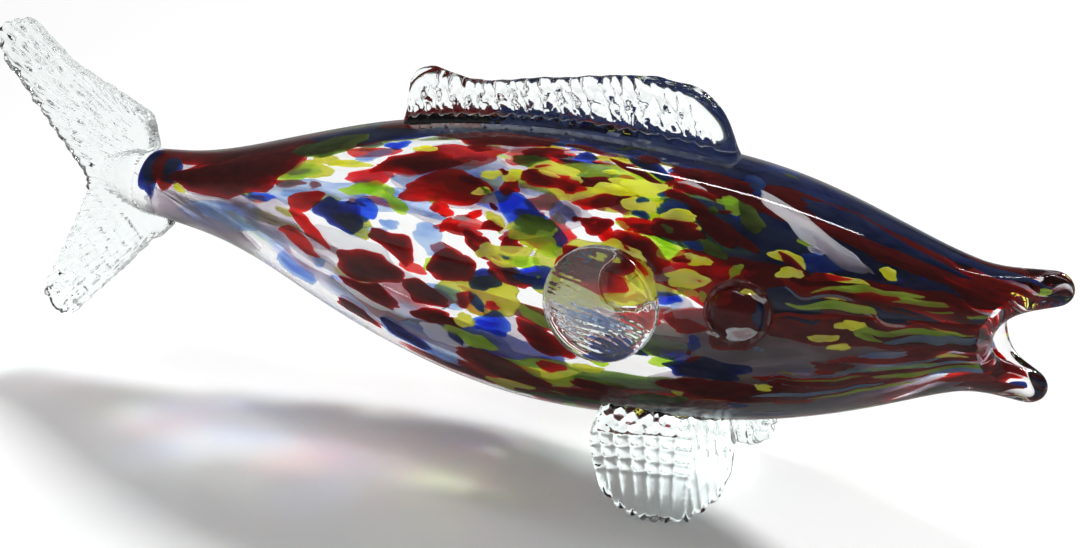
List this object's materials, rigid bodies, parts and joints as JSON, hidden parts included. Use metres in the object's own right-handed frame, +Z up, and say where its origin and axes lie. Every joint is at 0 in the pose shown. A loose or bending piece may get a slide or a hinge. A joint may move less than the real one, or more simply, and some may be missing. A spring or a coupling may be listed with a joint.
{
  "type": "fish figurine",
  "caption": "Hollow blown-glass fish ornament with coloured chips under a clear casing and pressed clear fins, tail and eyes, standing on its belly fins and tail tip.",
  "frame": {"origin": "on the surface that the fish stands on, under the middle of its overall length and width", "axes": "+X towards the mouth, +Y to the fish's left, +Z up"},
  "size_m": [0.4023, 0.0974, 0.1318],
  "materials": {
    "clear_glass": "fire-polished clear glass",
    "fin_glass": "crimped clear glass with a faint sea-green tint",
    "red_glass": "translucent red and maroon chips",
    "blue_glass": "translucent cobalt and pale blue chips",
    "yellow_glass": "translucent yellow chips",
    "green_glass": "translucent green and yellow-green chips",
    "white_glass": "milky white and pale grey chips"
  },
  "bodies": {
    "root": {"clear_bubble": "clear_glass", "clear_casing": "clear_glass", "red_chips": "red_glass", "blue_chips": "blue_glass", "yellow_chips": "yellow_glass", "green_chips": "green_glass", "white_chips": "white_glass", "tail_fin": "fin_glass", "dorsal_fin": "fin_glass", "right_pectoral_fin": "fin_glass", "left_pectoral_fin": "fin_glass", "right_ventral_fin": "fin_glass", "left_ventral_fin": "fin_glass", "right_eye": "clear_glass", "left_eye": "clear_glass"}
  },
  "joints": []
}
